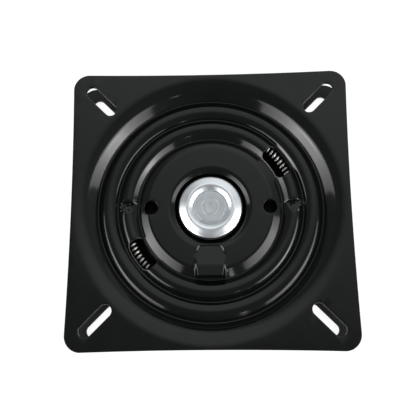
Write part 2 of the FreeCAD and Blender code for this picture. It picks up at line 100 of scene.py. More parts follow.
class Term:
    """An output socket in a node tree, which can stand in a sum or a product."""

    def __init__(self, tree, socket=None):
        self.tree = tree
        self.socket = socket

    def node(self, kind, settings=None, inputs=None, output=0):
        """A new node in the same tree: its settings first, then the values or links of its sockets."""
        made = self.tree.nodes.new(kind)
        for name, value in (settings or {}).items():
            setattr(made, name, value)
        for name, value in (inputs or {}).items():
            if isinstance(value, Term):
                self.tree.links.new(value.socket, made.inputs[name])
            else:
                made.inputs[name].default_value = value
        return Term(self.tree, made.outputs[output] if len(made.outputs) else None)

    def pick(self, name):
        """Another output of the node that this one comes from."""
        return Term(self.tree, self.socket.node.outputs[name])

    def maths(self, operation, first, second=0.0):
        """A Math node in the same tree."""
        return self.node("ShaderNodeMath", {"operation": operation}, {0: first, 1: second})

    def __add__(self, other):
        return self.maths("ADD", self, other)

    __radd__ = __add__

    def __mul__(self, other):
        return self.maths("MULTIPLY", self, other)

    __rmul__ = __mul__

    def __sub__(self, other):
        return self.maths("SUBTRACT", self, other)

    def __rsub__(self, other):
        return self.maths("SUBTRACT", other, self)

    def clamped(self):
        """This number held between 0 and 1."""
        return self.node("ShaderNodeClamp", inputs={"Value": self})


# %% [markdown]
# The floor. The background of the picture is pure white, so the floor shows
# white to the camera and in reflections, and still takes the shadow: part of
# what the camera sees is a matte floor in the light of the lamps.

# %% Floor
FLOOR_REACH = 3.0         # metres from the middle to each side
FLOOR_SHADE = 0.55        # of the matte floor that the bearing is lit by
SHADOW_SHARE = 0.4        # of the matte floor in what the camera sees
FLOOR_GLOW = 1.5          # over 1, so that the lit floor is full white and only the shadow is darker


def add_floor():
    """A wide plane under the bearing, white except where the shadow falls."""
    corners = [(sx * FLOOR_REACH, sy * FLOOR_REACH, 0.0) for sx, sy in ((-1, -1), (1, -1), (1, 1), (-1, 1))]
    mesh = bpy.data.meshes.new("floor")
    mesh.from_pydata(corners, [], [(0, 1, 2, 3)])
    floor = bpy.data.objects.new("floor", mesh)
    bpy.context.scene.collection.objects.link(floor)
    material = bpy.data.materials.new("white_floor")
    material.use_nodes = True
    material.node_tree.nodes.clear()
    start = Term(material.node_tree)
    rays = start.node("ShaderNodeLightPath")
    seen = rays.pick("Is Camera Ray") + rays.pick("Is Glossy Ray") + rays.pick("Is Transmission Ray")
    white = start.node("ShaderNodeEmission", inputs={"Strength": FLOOR_GLOW})
    matte = start.node("ShaderNodeBsdfDiffuse", inputs={"Color": (FLOOR_SHADE,) * 3 + (1.0,)})
    shaded = start.node("ShaderNodeMixShader", inputs={0: SHADOW_SHARE, 1: white, 2: matte})
    shown = start.node("ShaderNodeMixShader", inputs={0: seen.clamped(), 1: matte, 2: shaded})
    start.node("ShaderNodeOutputMaterial", inputs={"Surface": shown})
    mesh.materials.append(material)
    return floor


floor = add_floor()
print("floor:", floor.name, "to", FLOOR_REACH, "m")

# %% [markdown]
# The light. The paint is nearly black and almost as smooth as glass, so its
# shape shows in what it reflects. Two low, wide softboxes stand left and right
# on the camera's side, each about a sixth of a turn wide as seen from the
# bearing and brighter towards its middle. A reflection adds up the lamps that
# lie behind one another, so each softbox is a nest of ever smaller lamps. Two
# small lamps stand in front. Lamps with a narrow spread would fall off at their
# edges, and plain ones keep the edge that the picture shows.

# %% Lamps
SOFTBOX_DISTANCE = 0.9    # metres
NESTED_GAP = 0.004        # metres between the lamps of one softbox
NESTED_LAMPS = (
    # share of the width, radiance that it adds
    (1.0, 3.0), (0.86, 0.7), (0.72, 0.9), (0.58, 1.2), (0.44, 1.8), (0.3, 2.6), (0.18, 3.4),
)
CORE_RISE = 3.0           # degrees that the brightest part lies above the middle
SOFTBOXES = (
    # name, then in degrees as seen from the bearing: bearing, height above level, width, how tall
    ("left_softbox", 204.5, 18, 60, 38),
    ("right_softbox", 334.5, 17, 53, 38),
)
FRONT_SPOTS = (
    # the same, and the radiance
    ("front_spot_high", 290, 32, 3, 2.5, 9.0),
    ("front_spot_low", 299, 14, 3, 2, 7.5),
)


def pointing(bearing, height):
    """The direction at a bearing from +x towards +y and a height above level, both in degrees."""
    turn = math.radians(bearing)
    rise = math.radians(height)
    return Vector((math.cos(rise) * math.cos(turn), math.cos(rise) * math.sin(turn), math.sin(rise)))


def add_lamp(name, bearing, height, width, tall, radiance, distance=SOFTBOX_DISTANCE):
    """An area lamp that faces the bearing, with its angles in degrees as seen from there."""
    data = bpy.data.lights.new(name, "AREA")
    data.shape = "RECTANGLE"
    data.size = 2 * distance * math.tan(math.radians(width / 2))
    data.size_y = 2 * distance * math.tan(math.radians(tall / 2))
    data.energy = radiance * math.pi * data.size * data.size_y
    lamp = bpy.data.objects.new(name, data)
    direction = pointing(bearing, height)
    target = Vector((0.0, 0.0, SEAT_HEIGHT))
    look = (-direction).to_track_quat("-Z", "Y")
    lamp.matrix_world = Matrix.Translation(target + direction * distance) @ look.to_matrix().to_4x4()
    bpy.context.scene.collection.objects.link(lamp)
    return lamp


def add_softbox(name, bearing, height, width, tall):
    """Lamps one inside another, whose light adds up towards the middle."""
    made = []
    for index, (share, radiance) in enumerate(NESTED_LAMPS):
        distance = SOFTBOX_DISTANCE - index * NESTED_GAP
        rise = height + (1 - share) * CORE_RISE
        size = (width * share, tall * share)
        made.append(add_lamp(f"{name}_{index + 1}", bearing, rise, *size, radiance, distance))
    return made


lamps = []
for softbox in SOFTBOXES:
    lamps += add_softbox(*softbox)
for spot in FRONT_SPOTS:
    lamps.append(add_lamp(*spot))
print("lamps:", len(lamps))

# %% [markdown]
# The room. What the lamps leave dark still reflects the room, which is dim,
# lighter over the rear and a little darker towards the front. That gives the
# flat metal its slow change of tone. A picture of a room would do it too, and
# three numbers and a direction are easier to set.

# %% Room
ROOM_LIGHT = 1.5
ROOM_SHADE = 0.17
REAR_SHADE = 0.48         # added in the middle of the light part
RIGHT_SHADE = 0.15        # added towards the right
FRONT_SHADE = 0.07        # taken off towards the front
REAR_PART = (80, 42)      # bearing and height of the middle of the light part, in degrees
REAR_EDGE = 0.66          # cosine of the angle from there to its edge
REAR_RISE = 4.2           # how fast it grows lighter from the edge inwards


def add_room():
    """A dim room: lighter over the rear, a little lighter to the right, darkest in front."""
    world = bpy.data.worlds.new("room")
    world.use_nodes = True
    tree = world.node_tree
    place = Term(tree).node("ShaderNodeTexCoord").pick("Generated")
    middle = pointing(*REAR_PART)
    rear = place.node("ShaderNodeVectorMath", {"operation": "DOT_PRODUCT"}, {0: place, 1: middle}, "Value")
    parts = place.node("ShaderNodeSeparateXYZ", inputs={0: place})
    glow = ((rear - REAR_EDGE) * REAR_RISE).clamped()
    right = parts.pick("X").clamped()
    front = (0.0 - parts.pick("Y")).clamped()
    shade = ROOM_SHADE + glow * REAR_SHADE + right * RIGHT_SHADE - front * FRONT_SHADE
    tree.links.new((shade * ROOM_LIGHT).socket, tree.nodes["Background"].inputs["Strength"])
    tree.nodes["Background"].inputs["Color"].default_value = (0.97, 1.0, 1.0, 1.0)
    bpy.context.scene.world = world
    return world


room = add_room()
bpy.context.scene.view_settings.view_transform = "Standard"
print("world:", room.name)

# %% [markdown]
# The section of the pressed plates. A press bends sheet over rounded tools, so
# the section is a row of bends joined by straight walls that touch both. Each
# bend has its distance from the axis, the height of its centre and its radius,
# which is negative where the hollow side is up. Heights count from the plane
# half-way between the plates.
#
# The inside has the sizes of the solid model, so the balls and springs run
# clear. The face follows what the bright bands in the picture say of its
# slopes, and its walls lie up to about 2 mm beside those of the inside. One
# offset for both would be truer to sheet metal, but the face is what shows.

# %% Sizes of the pressed sheet
SHEET = 2.5               # this and the other sizes of the object are in millimetres
PLATE_HALF = 89.0
PLATE_CORNER = 10.0
SIDE_BOW = 1.5
FLANGE_RISE = 13.0
CREASE_BEND = 0.8
CREASE_RISE = 4.0
RACE_RADIUS = 66.25
RACE_BEND = 6.65
CHANNEL_RISE = 8.0
PLATEAU_RISE = 7.5
PLATEAU_BEND = 3.5
RECESS_RISE = 2.0
RECESS_CORNER = 1.5
KINGPIN_HOLE = 13.5
BOSS_UNDERSIDE = 3.0
BOSS_BEND = 0.8
BOSS_ROOT_BEND = 3.0
BOSS_RADIUS = 7.942
BOSS_SLOPE = 80.0         # degrees
RIVET_HOLE = 5.05
CREASE = (CREASE_BEND, CREASE_RISE)
INSIDE_WALLS = {
    # slopes of the walls from the rim inwards, then the bends of the flange, the channel and the lip
    "slopes": (37.0, 35.0, 35.0, 50.0, 50.0, 40.0), "flange": 5.0, "channel": 6.5, "race": RACE_RADIUS,
    "lip": ((28.0, PLATEAU_RISE - 3.5, 3.5),), "recess": 65.0,
}
FACE_WALLS = {
    "slopes": (47.0, 29.0, 42.0, 45.0, 42.0, 30.0), "flange": 14.0, "channel": 5.5, "race": 65.0,
    "lip": ((24.45, 3.3, 2.6), (27.2, PLATEAU_RISE - 4.0, 4.0)), "recess": 78.0,
}


def wall_run(crest_bend, crest_top, valley_bend, valley_bottom, slope):
    """Level distance between the centres of two opposite bends joined by a straight wall."""
    angle = math.radians(slope)
    bends = crest_bend + valley_bend
    drop = (valley_bottom + valley_bend) - (crest_top - crest_bend)
    return bends * math.sin(angle) + (bends * math.cos(angle) - drop) / math.tan(angle)


def plate_rings(walls):
    """The bends that both plates share, from the plateau's edge out to the flange."""
    slopes = walls["slopes"]
    outer_crease = walls["race"] + wall_run(RACE_BEND, RACE_BEND, *CREASE, slopes[1])
    middle_crease = walls["race"] - wall_run(RACE_BEND, RACE_BEND, *CREASE, slopes[2])
    channel = middle_crease - wall_run(walls["channel"], CHANNEL_RISE, *CREASE, slopes[3])
    inner_crease = channel - wall_run(walls["channel"], CHANNEL_RISE, *CREASE, slopes[4])
    plateau_edge = inner_crease - wall_run(PLATEAU_BEND, PLATEAU_RISE, *CREASE, slopes[5])
    flange = outer_crease + wall_run(walls["flange"], FLANGE_RISE, *CREASE, slopes[0])
    return [
        (plateau_edge, PLATEAU_RISE - PLATEAU_BEND, PLATEAU_BEND),
        (inner_crease, CREASE_RISE + CREASE_BEND, -CREASE_BEND),
        (channel, CHANNEL_RISE - walls["channel"], walls["channel"]),
        (middle_crease, CREASE_RISE + CREASE_BEND, -CREASE_BEND),
        (walls["race"], 0.0, RACE_BEND),
        (outer_crease, CREASE_RISE + CREASE_BEND, -CREASE_BEND),
        (flange, FLANGE_RISE - walls["flange"], walls["flange"]),
        (flange, FLANGE_RISE, 0.0),
    ]


def recess_bends(walls):
    """The bends of the kingpin recess, from the hole out to the lip."""
    foot, rise, bend = walls["lip"][0]
    recess = foot - wall_run(bend, rise + bend, RECESS_CORNER, RECESS_RISE, walls["recess"])
    corner = (recess, RECESS_RISE + RECESS_CORNER, -RECESS_CORNER)
    return [(KINGPIN_HOLE, RECESS_RISE, 0.0), corner, *walls["lip"]]


BOSS_ROOT = BOSS_RADIUS + wall_run(BOSS_ROOT_BEND, PLATEAU_RISE, BOSS_BEND, -BOSS_UNDERSIDE, BOSS_SLOPE)
BOSS_BENDS = [
    (RIVET_HOLE, -BOSS_UNDERSIDE, 0.0),
    (BOSS_RADIUS, -BOSS_UNDERSIDE + BOSS_BEND, -BOSS_BEND),
    (BOSS_ROOT, PLATEAU_RISE - BOSS_ROOT_BEND, BOSS_ROOT_BEND),
]
FACE_RINGS = plate_rings(FACE_WALLS)
INSIDE_RINGS = plate_rings(INSIDE_WALLS)
CHANNEL_RADIUS = FACE_RINGS[2][0]
CHANNEL_HALF = FACE_RINGS[3][0] - CHANNEL_RADIUS
for label, walls, rings in (("face", FACE_WALLS, FACE_RINGS), ("inside", INSIDE_WALLS, INSIDE_RINGS)):
    print(label, "bends at", [round(bend[0], 2) for bend in recess_bends(walls) + rings])

# %% [markdown]
# From bends to rings of points. Every bend is cut into steps of a few degrees,
# so that the reflections run round it smoothly, and every straight wall gets a
# point close to each end, which keeps the shading of the bend out of the wall.

# %% Points along a section
GUARD = 0.3               # from the end of a bend to the first point of the wall
WALL_SHARES = (0.33, 0.67)   # of a wall, where it gets two more points
CLOSEST_RINGS = 0.02
FACE_STEP = 4.5           # degrees of a bend between two rings
LOWER_FACE_STEP = 5.0
INSIDE_STEP = 8.0


def stretch_angles(bends):
    """The direction of the upward normal on each straight stretch between two bends."""
    angles = []
    for first, second in zip(bends, bends[1:]):
        across = second[0] - first[0]
        rise = second[1] - first[1]
        turn = math.acos(round((first[2] - second[2]) / math.hypot(across, rise), 9))
        angles.append(math.atan2(rise, across) + turn)
    return angles


def section_points(bends, depth, step):
    """Points, each a radius and a height, along the face that lies depth below the outer one."""
    angles = stretch_angles(bends)
    points = []

    def point_at(bend, angle):
        reach = bend[2] - depth
        return np.array((bend[0] + reach * math.cos(angle), bend[1] + reach * math.sin(angle)))

    for index, angle in enumerate(angles):
        start = point_at(bends[index], angle)
        end = point_at(bends[index + 1], angle)
        length = float(np.hypot(*(end - start)))
        points.append(start)
        if length > 3 * GUARD:
            for share in (GUARD / length, *WALL_SHARES, 1 - GUARD / length):
                points.append(start + (end - start) * share)
        points.append(end)
        if index + 1 < len(angles) and bends[index + 1][2] != 0:
            following = angles[index + 1]
            count = max(3, math.ceil(abs(following - angle) / math.radians(step)))
            for part in range(1, count):
                points.append(point_at(bends[index + 1], angle + (following - angle) * part / count))
    kept = [points[0]]
    for point in points[1:]:
        if point[0] - kept[-1][0] > CLOSEST_RINGS:
            kept.append(point)
    return np.array(kept)


top_face = section_points(recess_bends(FACE_WALLS) + FACE_RINGS, 0.0, FACE_STEP)
top_inside = section_points(recess_bends(INSIDE_WALLS) + INSIDE_RINGS, SHEET, INSIDE_STEP)
bottom_face = section_points(BOSS_BENDS + FACE_RINGS, 0.0, LOWER_FACE_STEP)
bottom_inside = section_points(BOSS_BENDS + INSIDE_RINGS, SHEET, INSIDE_STEP)
print("rings:", len(top_face), len(top_inside), len(bottom_face), len(bottom_inside))

# %% [markdown]
# Arcs and turns. The holes and the outline are made of arcs, and much of the
# rest is rings round the swivel axis, so these few helpers come first. Curves
# would give the same points, but plain numbers can be checked and offset.

# %% Arcs and turns


def arc(centre, radius, start, sweep, count):
    """Points on a circle from one angle through a sweep, both ends included."""
    angles = np.radians(np.linspace(start, start + sweep, count))
    return np.stack([centre[0] + radius * np.cos(angles), centre[1] + radius * np.sin(angles)], axis=1)


def ring(radius, count):
    """Evenly spaced points all round the axis."""
    return arc((0.0, 0.0), radius, 0.0, 360.0, count + 1)[:-1]


def turned(points, angle):
    """Points turned about the axis by an angle in degrees."""
    cosine = math.cos(math.radians(angle))
    sine = math.sin(math.radians(angle))
    return points @ np.array([[cosine, sine], [-sine, cosine]])


def upright(radius, angle):
    """The point at a distance from the axis and at an angle in degrees."""
    return (radius * math.cos(math.radians(angle)), radius * math.sin(math.radians(angle)))


def offset_loop(loop, distance):
    """A loop moved outwards by a distance, point by point."""
    after = np.roll(loop, -1, axis=0) - loop
    after /= np.linalg.norm(after, axis=1, keepdims=True)
    before = np.roll(after, 1, axis=0)
    normal = np.stack([before[:, 1] + after[:, 1], -before[:, 0] - after[:, 0]], axis=1)
    normal /= np.linalg.norm(normal, axis=1, keepdims=True)
    return loop + normal * distance


print("a quarter turn of (1, 0):", turned(np.array([[1.0, 0.0]]), 90).round(3).tolist())

# %% [markdown]
# Holes and edges. Each hole and the outline of the plate is a closed loop of
# points that runs anticlockwise. The slots take the fixing screws, the windows
# show the springs, and the two tooling holes held the blank in the press.

# %% Holes and outline
SLOT_CENTRE = 99.4
SLOT_REACH = 8.5          # from the middle of a slot to the centre of its round end
SLOT_HALF = 3.95
SLOT_END_POINTS = 21
PUNCH_SHIFT = np.array((0.15, 0.1))   # the windows and the tooling holes sit a little off the axis
WINDOW_INNER = 47.0
WINDOW_OUTER = 57.4
WINDOW_START = 22.95      # degrees
WINDOW_SWEEP = 22.7       # degrees
WINDOW_POINTS = (26, 24, 11)   # along the outer side, the inner side and a corner
OUTER_CORNER = 4.2
INNER_CORNER = 3.0
TOOLING_RADIUS = 37.8
TOOLING_HALF = 4.4
TOOLING_POINTS = 48
PLATE_CORNER_POINTS = 31
PLATE_SIDE_POINTS = 42


def slot_loop(angle):
    """A slot with round ends on a diagonal."""
    far = arc((SLOT_CENTRE + SLOT_REACH, 0.0), SLOT_HALF, -90, 180, SLOT_END_POINTS)
    near = arc((SLOT_CENTRE - SLOT_REACH, 0.0), SLOT_HALF, 90, 180, SLOT_END_POINTS)
    return turned(np.concatenate([far, near]), angle)


def window_loop(start):
    """A window over the spring, with round corners between two arcs and two straight sides."""
    outer_reach = WINDOW_OUTER - OUTER_CORNER
    inner_reach = WINDOW_INNER + INNER_CORNER
    outer_in = math.degrees(math.asin(OUTER_CORNER / outer_reach))
    inner_in = math.degrees(math.asin(INNER_CORNER / inner_reach))
    corners = [
        (outer_reach, outer_in, OUTER_CORNER, -90.0),
        (outer_reach, WINDOW_SWEEP - outer_in, OUTER_CORNER, 0.0),
        (inner_reach, WINDOW_SWEEP - inner_in, INNER_CORNER, 90.0),
        (inner_reach, inner_in, INNER_CORNER, 180.0),
    ]
    outer_count, inner_count, corner_count = WINDOW_POINTS
    rounds = []
    for reach, angle, corner, begin in corners:
        rounds.append(arc(upright(reach, angle), corner, angle + begin, 90.0, corner_count))
    outer_run = WINDOW_SWEEP - 2 * outer_in
    inner_run = 2 * inner_in - WINDOW_SWEEP
    outer_edge = arc((0, 0), WINDOW_OUTER, outer_in, outer_run, outer_count)[1:-1]
    inner_edge = arc((0, 0), WINDOW_INNER, WINDOW_SWEEP - inner_in, inner_run, inner_count)[1:-1]
    loop = np.concatenate([rounds[0], outer_edge, rounds[1], rounds[2], inner_edge, rounds[3]])
    return turned(loop, start) + PUNCH_SHIFT


def outline_loop():
    """The square outline: four sides that bow inwards a little, and four round corners."""
    bow_radius = (PLATE_HALF ** 2 + SIDE_BOW ** 2) / (2 * SIDE_BOW)
    bow_centre = PLATE_HALF - SIDE_BOW + bow_radius
    corner_centre = (bow_centre - math.sqrt(2 * (bow_radius + PLATE_CORNER) ** 2 - bow_centre ** 2)) / 2
    lean = math.degrees(math.atan2(corner_centre, bow_centre - corner_centre))
    corner = arc((corner_centre, corner_centre), PLATE_CORNER, -lean, 90 + 2 * lean, PLATE_CORNER_POINTS)
    rows = np.linspace(-corner[0, 1], corner[0, 1], PLATE_SIDE_POINTS)[1:-1]
    side = np.stack([bow_centre - np.sqrt(bow_radius ** 2 - rows ** 2), rows], axis=1)
    quarter = np.concatenate([side, corner])
    return np.concatenate([turned(quarter, 90 * index) for index in range(4)])


SLOTS = [slot_loop(45 + 90 * index) for index in range(4)]
WINDOWS = [window_loop(WINDOW_START + turn) for turn in (0, 180)]
TOOLING_HOLES = []
for side in (1, -1):
    centre = PUNCH_SHIFT + (side * TOOLING_RADIUS, 0.0)
    TOOLING_HOLES.append(arc(centre, TOOLING_HALF, 0, 360, TOOLING_POINTS + 1)[:-1])
OUTLINE = outline_loop()
print("outline points:", len(OUTLINE), "half width", round(float(OUTLINE.max()), 2), "mm")

# %% [markdown]
# The lances. A lance is a strip of the channel, cut across and pushed down as a
# ramp, so that its steep torn face stops the end of a spring. Tearing leaves
# the metal crinkled, which shows as bright dots. Both lances are written as a
# change to the height of the sheet at a point, so that one function serves the
# face and the inside. A Boolean cutter would leave its torn face too clean.

# %% Lances
LANCE_ANGLE = 3.5         # degrees that the torn face is turned on from the x axis
LANCE_LENGTH = 7.0
LANCE_DROP = 2.5
LANCE_FACE = 1.5          # over which the torn face falls
LANCE_ROUND = 0.7         # of the torn face's edges
LANCE_ROUND_PAST = 1.0    # how far the round reaches past the torn face
LANCE_ROUND_FROM = -3.0   # the middle of the stretch of the ramp where the round begins, from the torn face
LANCE_ROUND_OVER = 3.0    # the length of that stretch
CRINKLES = {
    # side: x, y, height, radius along x, radius along y
    -1: (
        (-55.4, 5.0, 0.66, 1.08, 0.72), (-57.4, 1.4, 0.84, 0.65, 0.86), (-55.0, 0.7, 0.72, 0.58, 0.5),
        (-49.2, 1.2, 0.84, 0.65, 0.86), (-52.3, 2.6, -0.72, 1.01, 0.72), (-56.4, -1.6, -0.6, 0.86, 0.65),
        (-51.6, -1.2, 0.54, 0.65, 0.58), (-53.6, -2.6, 0.42, 0.65, 0.58),
    ),
    1: (
        (50.9, 4.0, 0.6, 0.94, 0.5), (57.0, 4.1, 0.6, 0.86, 0.5), (59.2, 2.4, 0.84, 0.65, 0.72),
        (51.1, 1.0, 0.72, 0.58, 0.58), (53.1, 1.7, 0.54, 0.5, 0.5), (57.0, 1.5, 0.72, 0.58, 0.58),
        (54.3, -0.9, 0.35, 1.5, 1.2), (55.2, -3.0, -0.25, 1.3, 1.0), (51.6, -2.2, 0.42, 0.65, 0.5),
    ),
}


def soft_step(value, edge, softness):
    """0 below the edge, 1 above it, and a smooth turn between."""
    share = np.clip((value - edge) / softness + 0.5, 0.0, 1.0)
    return share * share * (3 - 2 * share)


def lance_place(x, y, side):
    """Across and along coordinates of a point at the lance on one side, from the middle of its torn face."""
    points = turned(np.stack([x * side, y], axis=-1), -LANCE_ANGLE)
    return points[..., 0] - CHANNEL_RADIUS, points[..., 1]


def with_lances(x, y, height, depth):
    """The height of the sheet after both lances are pressed down through it."""
    top = CHANNEL_RISE - depth
    for side in (1, -1):
        across, along = lance_place(x, y, side)
        ramp = top - LANCE_DROP * (1 + along / LANCE_LENGTH)
        ramp = np.where(along > 0, top - LANCE_DROP * (1 - along / LANCE_FACE), ramp)
        near = (np.abs(across) < CHANNEL_HALF) & (along > -LANCE_LENGTH)
        near &= along < LANCE_FACE + LANCE_ROUND_PAST
        bend = LANCE_ROUND * soft_step(along, LANCE_ROUND_FROM, LANCE_ROUND_OVER)
        pressed = 0.5 * (height + ramp - np.sqrt((height - ramp) ** 2 + bend * bend))
        height = np.where(near, pressed, height)
        for place_x, place_y, rise, reach_x, reach_y in CRINKLES[side]:
            away = ((x - place_x) / reach_x) ** 2 + ((y - place_y) / reach_y) ** 2
            height = height + rise * np.exp(-away)
    return height


torn_face = np.array(upright(CHANNEL_RADIUS, LANCE_ANGLE))
print("torn face in the channel:", round(float(with_lances(*torn_face, CHANNEL_RISE, 0.0)), 2), "mm high")

# %% [markdown]
# The stepped pad towards the front. A small tool presses the metal down beside
# the middle and up towards the channel, with a step between. Its sides slope,
# and they draw the two bright lines of the picture. Past the plateau the pad
# keeps its own height, which makes its end stand out over the falling wall.

# %% Stepped pad
PAD_LEVELS = (
    # distance in front of the axis, how far the metal is pressed up there
    (23.5, 0.0), (24.6, -1.2), (25.4, -1.4), (30.0, -0.3), (33.8, 0.6), (34.6, 0.75),
    (35.5, 1.25), (36.8, 1.35), (43.0, 1.35),
)
PAD_BLUR = 0.35           # the levels are a mean over this far to both sides
PAD_FLAT_FROM = 37.0      # past this distance the pad keeps its height over the plateau's falling edge
PAD_END = 43.4
PAD_END_SOFTNESS = 1.2
PAD_HALF_WIDTHS = ((-42.5, 8.5), (-36.0, 9.0), (-29.6, 9.2), (-24.4, 7.0))   # y, half of the width
PAD_MIDDLE = -0.45
PAD_SOFTNESS = 2.1        # over which the pad meets the plateau at its sides


def with_pad(x, y, height, depth):
    """The height of the sheet after the pad is pressed into it."""
    half = np.interp(y, *np.array(PAD_HALF_WIDTHS).T)
    distances, levels = np.array(PAD_LEVELS).T
    level = sum(np.interp(-y + shift, distances, levels, 0.0) for shift in (-PAD_BLUR, 0.0, PAD_BLUR)) / 3
    share = soft_step(half - np.abs(x - PAD_MIDDLE), 0.0, PAD_SOFTNESS)
    share = share * soft_step(PAD_END + y, 0.0, PAD_END_SOFTNESS)
    base = np.where(-y > PAD_FLAT_FROM, PLATEAU_RISE - depth, height)
    return height + share * (base + level - height)


pad_rise = with_pad(np.array(PAD_MIDDLE), np.array(-38.0), PLATEAU_RISE, 0.0) - PLATEAU_RISE
print("pad over the plateau:", round(float(pad_rise), 2), "mm")

# %% [markdown]
# The plan of a face. The faces of a pressed plate never hang over, so each is a
# flat plan whose points are lifted to their heights. The plan is triangulated
# with the loops as fixed edges, and the triangles inside a hole are left out. A
# blanked and painted edge isn't sharp, so the face rolls over within half a
# millimetre of every loop, and a few more loops beside it carry that round.

# %% Plan of a face
EDGE_ROUND = 0.45
ROLL_SHARES = (0.0, 0.08, 0.3, 0.62, 1.0)   # of the edge's round, from the loop into the metal
CLEAR_OF_LOOP = 0.55                        # without other points beside a loop
SAME_POINT = 1e-6


def inside_and_distance(points, loop):
    """Whether each point lies inside a closed loop, and how far it is from it."""
    starts = loop
    ends = np.roll(loop, -1, axis=0)
    inside = np.zeros(len(points), bool)
    nearest = np.full(len(points), np.inf)
    for start, end in zip(starts, ends):
        along = end - start
        share = np.clip(((points - start) @ along) / (along @ along), 0.0, 1.0)
        away = points - start - share[:, None] * along
        nearest = np.minimum(nearest, (away ** 2).sum(axis=1))
        crosses = (start[1] > points[:, 1]) != (end[1] > points[:, 1])
        if start[1] != end[1]:
            reach = start[0] + (points[:, 1] - start[1]) * along[0] / along[1]
            inside ^= crosses & (points[:, 0] < reach)
    return inside, np.sqrt(nearest)


def plan_points(filler, outline, holes):
    """The filler points that lie in the metal and clear of every loop."""
    inside, distance = inside_and_distance(filler, outline)
    kept = inside & (distance > CLEAR_OF_LOOP)
    for hole in holes:
        low = hole.min(axis=0) - CLEAR_OF_LOOP
        high = hole.max(axis=0) + CLEAR_OF_LOOP
        near = np.flatnonzero(((filler > low) & (filler < high)).all(axis=1) & kept)
        if len(near):
            inside, distance = inside_and_distance(filler[near], hole)
            kept[near] = ~inside & (distance > CLEAR_OF_LOOP)
    return filler[kept]


def face_plan(filler, outline, holes):
    """Points of one face, how far each is rolled over at an edge, its triangles, and each loop's start."""
    points = []
    rolls = []
    edges = []
    starts = []
    total = 0
    for index, loop in enumerate([outline] + holes):
        starts.append(total)
        inwards = -1 if index == 0 else 1
        for share in ROLL_SHARES:
            points.append(offset_loop(loop, inwards * share * EDGE_ROUND))
            left = 1.0 - share
            rolls.append(np.full(len(loop), EDGE_ROUND * (1 - math.sqrt(1 - left * left))))
            if share in (0.0, 1.0):
                order = np.arange(len(loop)) + total
                edges += list(zip(order.tolist(), np.roll(order, -1).tolist()))
            total += len(loop)
    kept = plan_points(filler, outline, holes)
    points.append(kept)
    rolls.append(np.zeros(len(kept)))
    points = np.concatenate(points)
    result = delaunay_2d_cdt([Vector(point) for point in points], edges, [], 0, SAME_POINT)
    if len(result[0]) != len(points):
        raise ValueError(f"the plan changed from {len(points)} to {len(result[0])} points")
    faces = np.array(result[2])
    centres = points[faces].mean(axis=1)
    kept = inside_and_distance(centres, outline)[0]
    for hole in holes:
        beside = (centres > hole.min(axis=0)) & (centres < hole.max(axis=0))
        near = np.flatnonzero(beside.all(axis=1) & kept)
        if len(near):
            kept[near] = ~inside_and_distance(centres[near], hole)[0]
    return points, np.concatenate(rolls), faces[kept], starts


axis_gap = inside_and_distance(np.zeros((1, 2)), OUTLINE)[1]
print("from the axis to the nearest side:", round(float(axis_gap[0]), 2), "mm")

# %% [markdown]
# From plan to piece. The two faces of a sheet have a plan each, because the
# inside is seldom seen and can be coarser. A strip of quads along every loop
# joins them to a closed shell. Points of the inside are marked in an attribute,
# so that the paint can be duller there. A Solidify modifier would be shorter,
# but the two faces of this sheet don't run quite parallel.

# %% Pressed sheet
SHARP_FROM = 50.0         # degrees between two faces from which their edge is sharp


def new_piece(name, vertices, faces, material, sharp=SHARP_FROM):
    """A smooth-shaded mesh object in metres from points in millimetres."""
    mesh = bpy.data.meshes.new(name)
    mesh.from_pydata((np.asarray(vertices) * MM).tolist(), [], faces)
    mesh.validate()
    mesh.shade_smooth()
    mesh.set_sharp_from_angle(angle=math.radians(sharp))
    mesh.materials.append(material)
    piece = bpy.data.objects.new(name, mesh)
    bpy.context.scene.collection.objects.link(piece)
    return piece


def pressed_sheet(name, faces_filler, holes, face_height, inside_height, material, flipped):
    """A pressed plate from its two height functions. The lower plate is the same thing turned over."""
    outer = face_plan(faces_filler[0], OUTLINE, holes)
    inner = face_plan(faces_filler[1], OUTLINE, holes)
    x, y = outer[0].T
    outer_z = face_height(x, y) - outer[1]
    x, y = inner[0].T
    inner_z = inside_height(x, y) + inner[1]
    vertices = np.concatenate([np.column_stack([outer[0], outer_z]), np.column_stack([inner[0], inner_z])])
    first_inner = len(outer[0])
    faces = [tuple(face) for face in outer[2].tolist()]
    faces += [tuple(face[::-1]) for face in (inner[2] + first_inner).tolist()]
    for index, loop in enumerate([OUTLINE] + holes):
        above = np.arange(len(loop)) + outer[3][index]
        below = np.arange(len(loop)) + inner[3][index] + first_inner
        quads = np.stack([below, np.roll(below, -1), np.roll(above, -1), above], axis=1)
        if index > 0:
            quads = quads[:, ::-1]
        faces += [tuple(quad) for quad in quads.tolist()]
    if flipped:
        vertices = vertices * (1, -1, -1)
    vertices = vertices + (0, 0, FLANGE_RISE)
    piece = new_piece(name, vertices, faces, material)
    hidden = piece.data.attributes.new("inside", "FLOAT", "POINT")
    hidden.data.foreach_set("value", (np.arange(len(vertices)) >= first_inner).astype(np.float32))
    print(f"{name}: {len(vertices)} points, {len(faces)} faces")
    return piece


# %% [markdown]
# Points to fill a plan. Rings round the axis follow the bends, and a fine
# square grid takes their place at the lances and the pad, whose forms don't
# follow the rings. Out on the flat flange a few sparse rings are enough.

# %% Filler points
AROUND = 340              # points in a ring of a visible face
AROUND_INSIDE = 180
AROUND_FLANGE = 120
FLANGE_RINGS = (90.0, 95.0, 101.0, 108.0, 115.0)
LANCE_HALF = 5.9          # half the width of the fine grid at a lance
LANCE_BEFORE = 0.6        # how far it reaches past the foot of the ramp
LANCE_CLEAR = 3.6         # how far it reaches past the torn face
LANCE_GAP = 0.1           # from the grid to the rings
PAD_GRID = (22.5, 45.1)   # distances in front of the axis between which the pad's grid lies
PAD_MARGIN = 1.5          # beside the pad
PAD_GAP = 0.2


